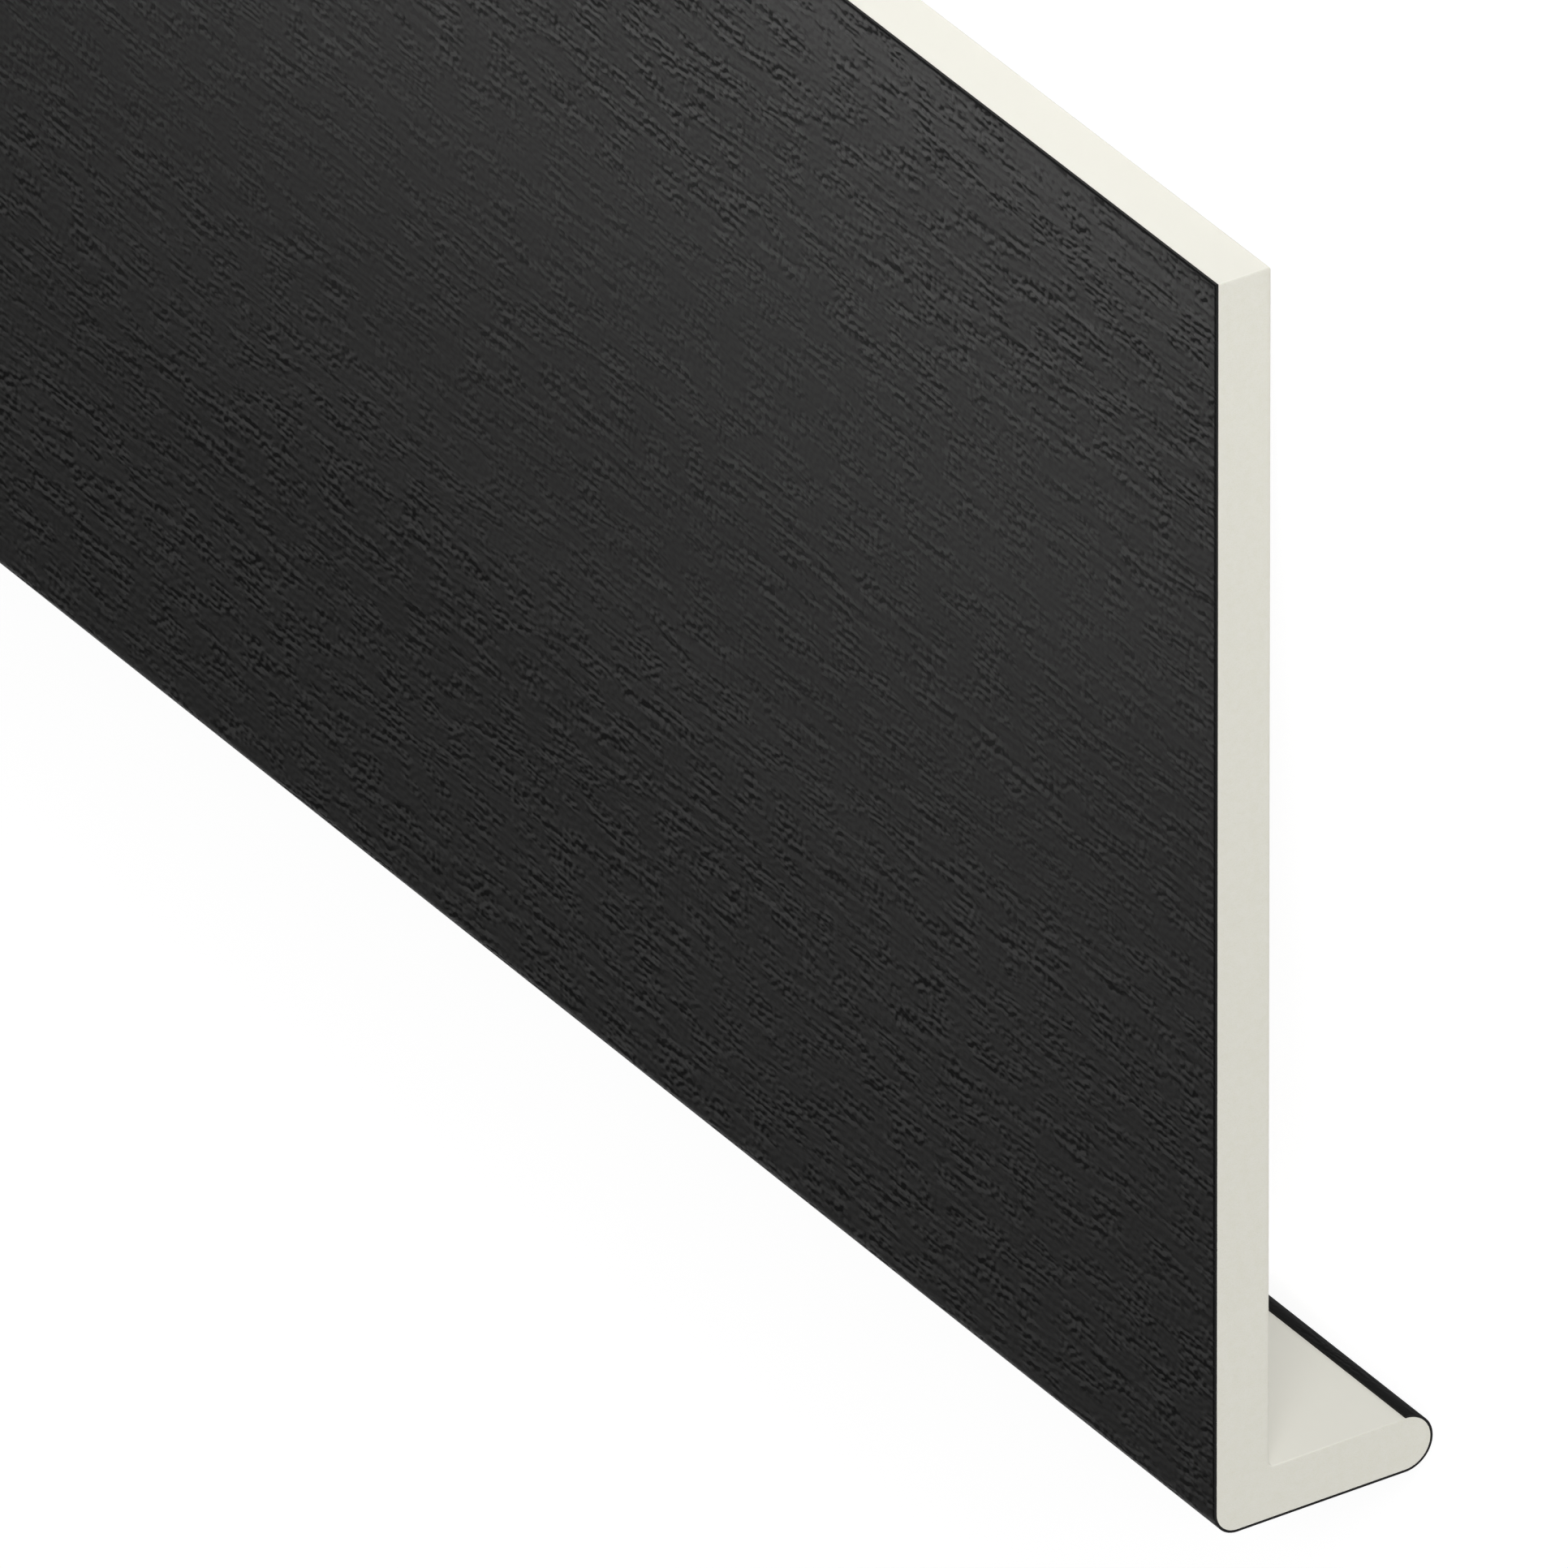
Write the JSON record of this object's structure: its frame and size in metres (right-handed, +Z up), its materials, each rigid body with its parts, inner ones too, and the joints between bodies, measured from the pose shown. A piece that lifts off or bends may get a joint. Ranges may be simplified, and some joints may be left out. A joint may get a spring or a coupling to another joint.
{
  "type": "fascia board",
  "caption": "J-section fascia cover board: a flat foamed-plastic board with a round-nosed leg along its lower edge, faced with dark woodgrain foil, lying face up.",
  "frame": {"origin": "middle of the board's length and of its width on the floor, with the floor at z = 0", "axes": "+X runs along the board's length, +Y from the leg towards the plain top edge, +Z up from the floor. The board lies face up on its nose and its top rear edge, so its face slopes 7.9 degrees down towards +Y."},
  "size_m": [2.5, 0.2278, 0.0403],
  "materials": {
    "foamed_pvc": "cream-white foamed PVC with a smooth satin skin and sawn, finely celled ends",
    "woodgrain_foil": "black ash woodgrain film, embossed with fine lengthwise grain, low sheen"
  },
  "bodies": {
    "root": {"foamed_board": "foamed_pvc", "woodgrain_foil": "woodgrain_foil"}
  },
  "joints": []
}
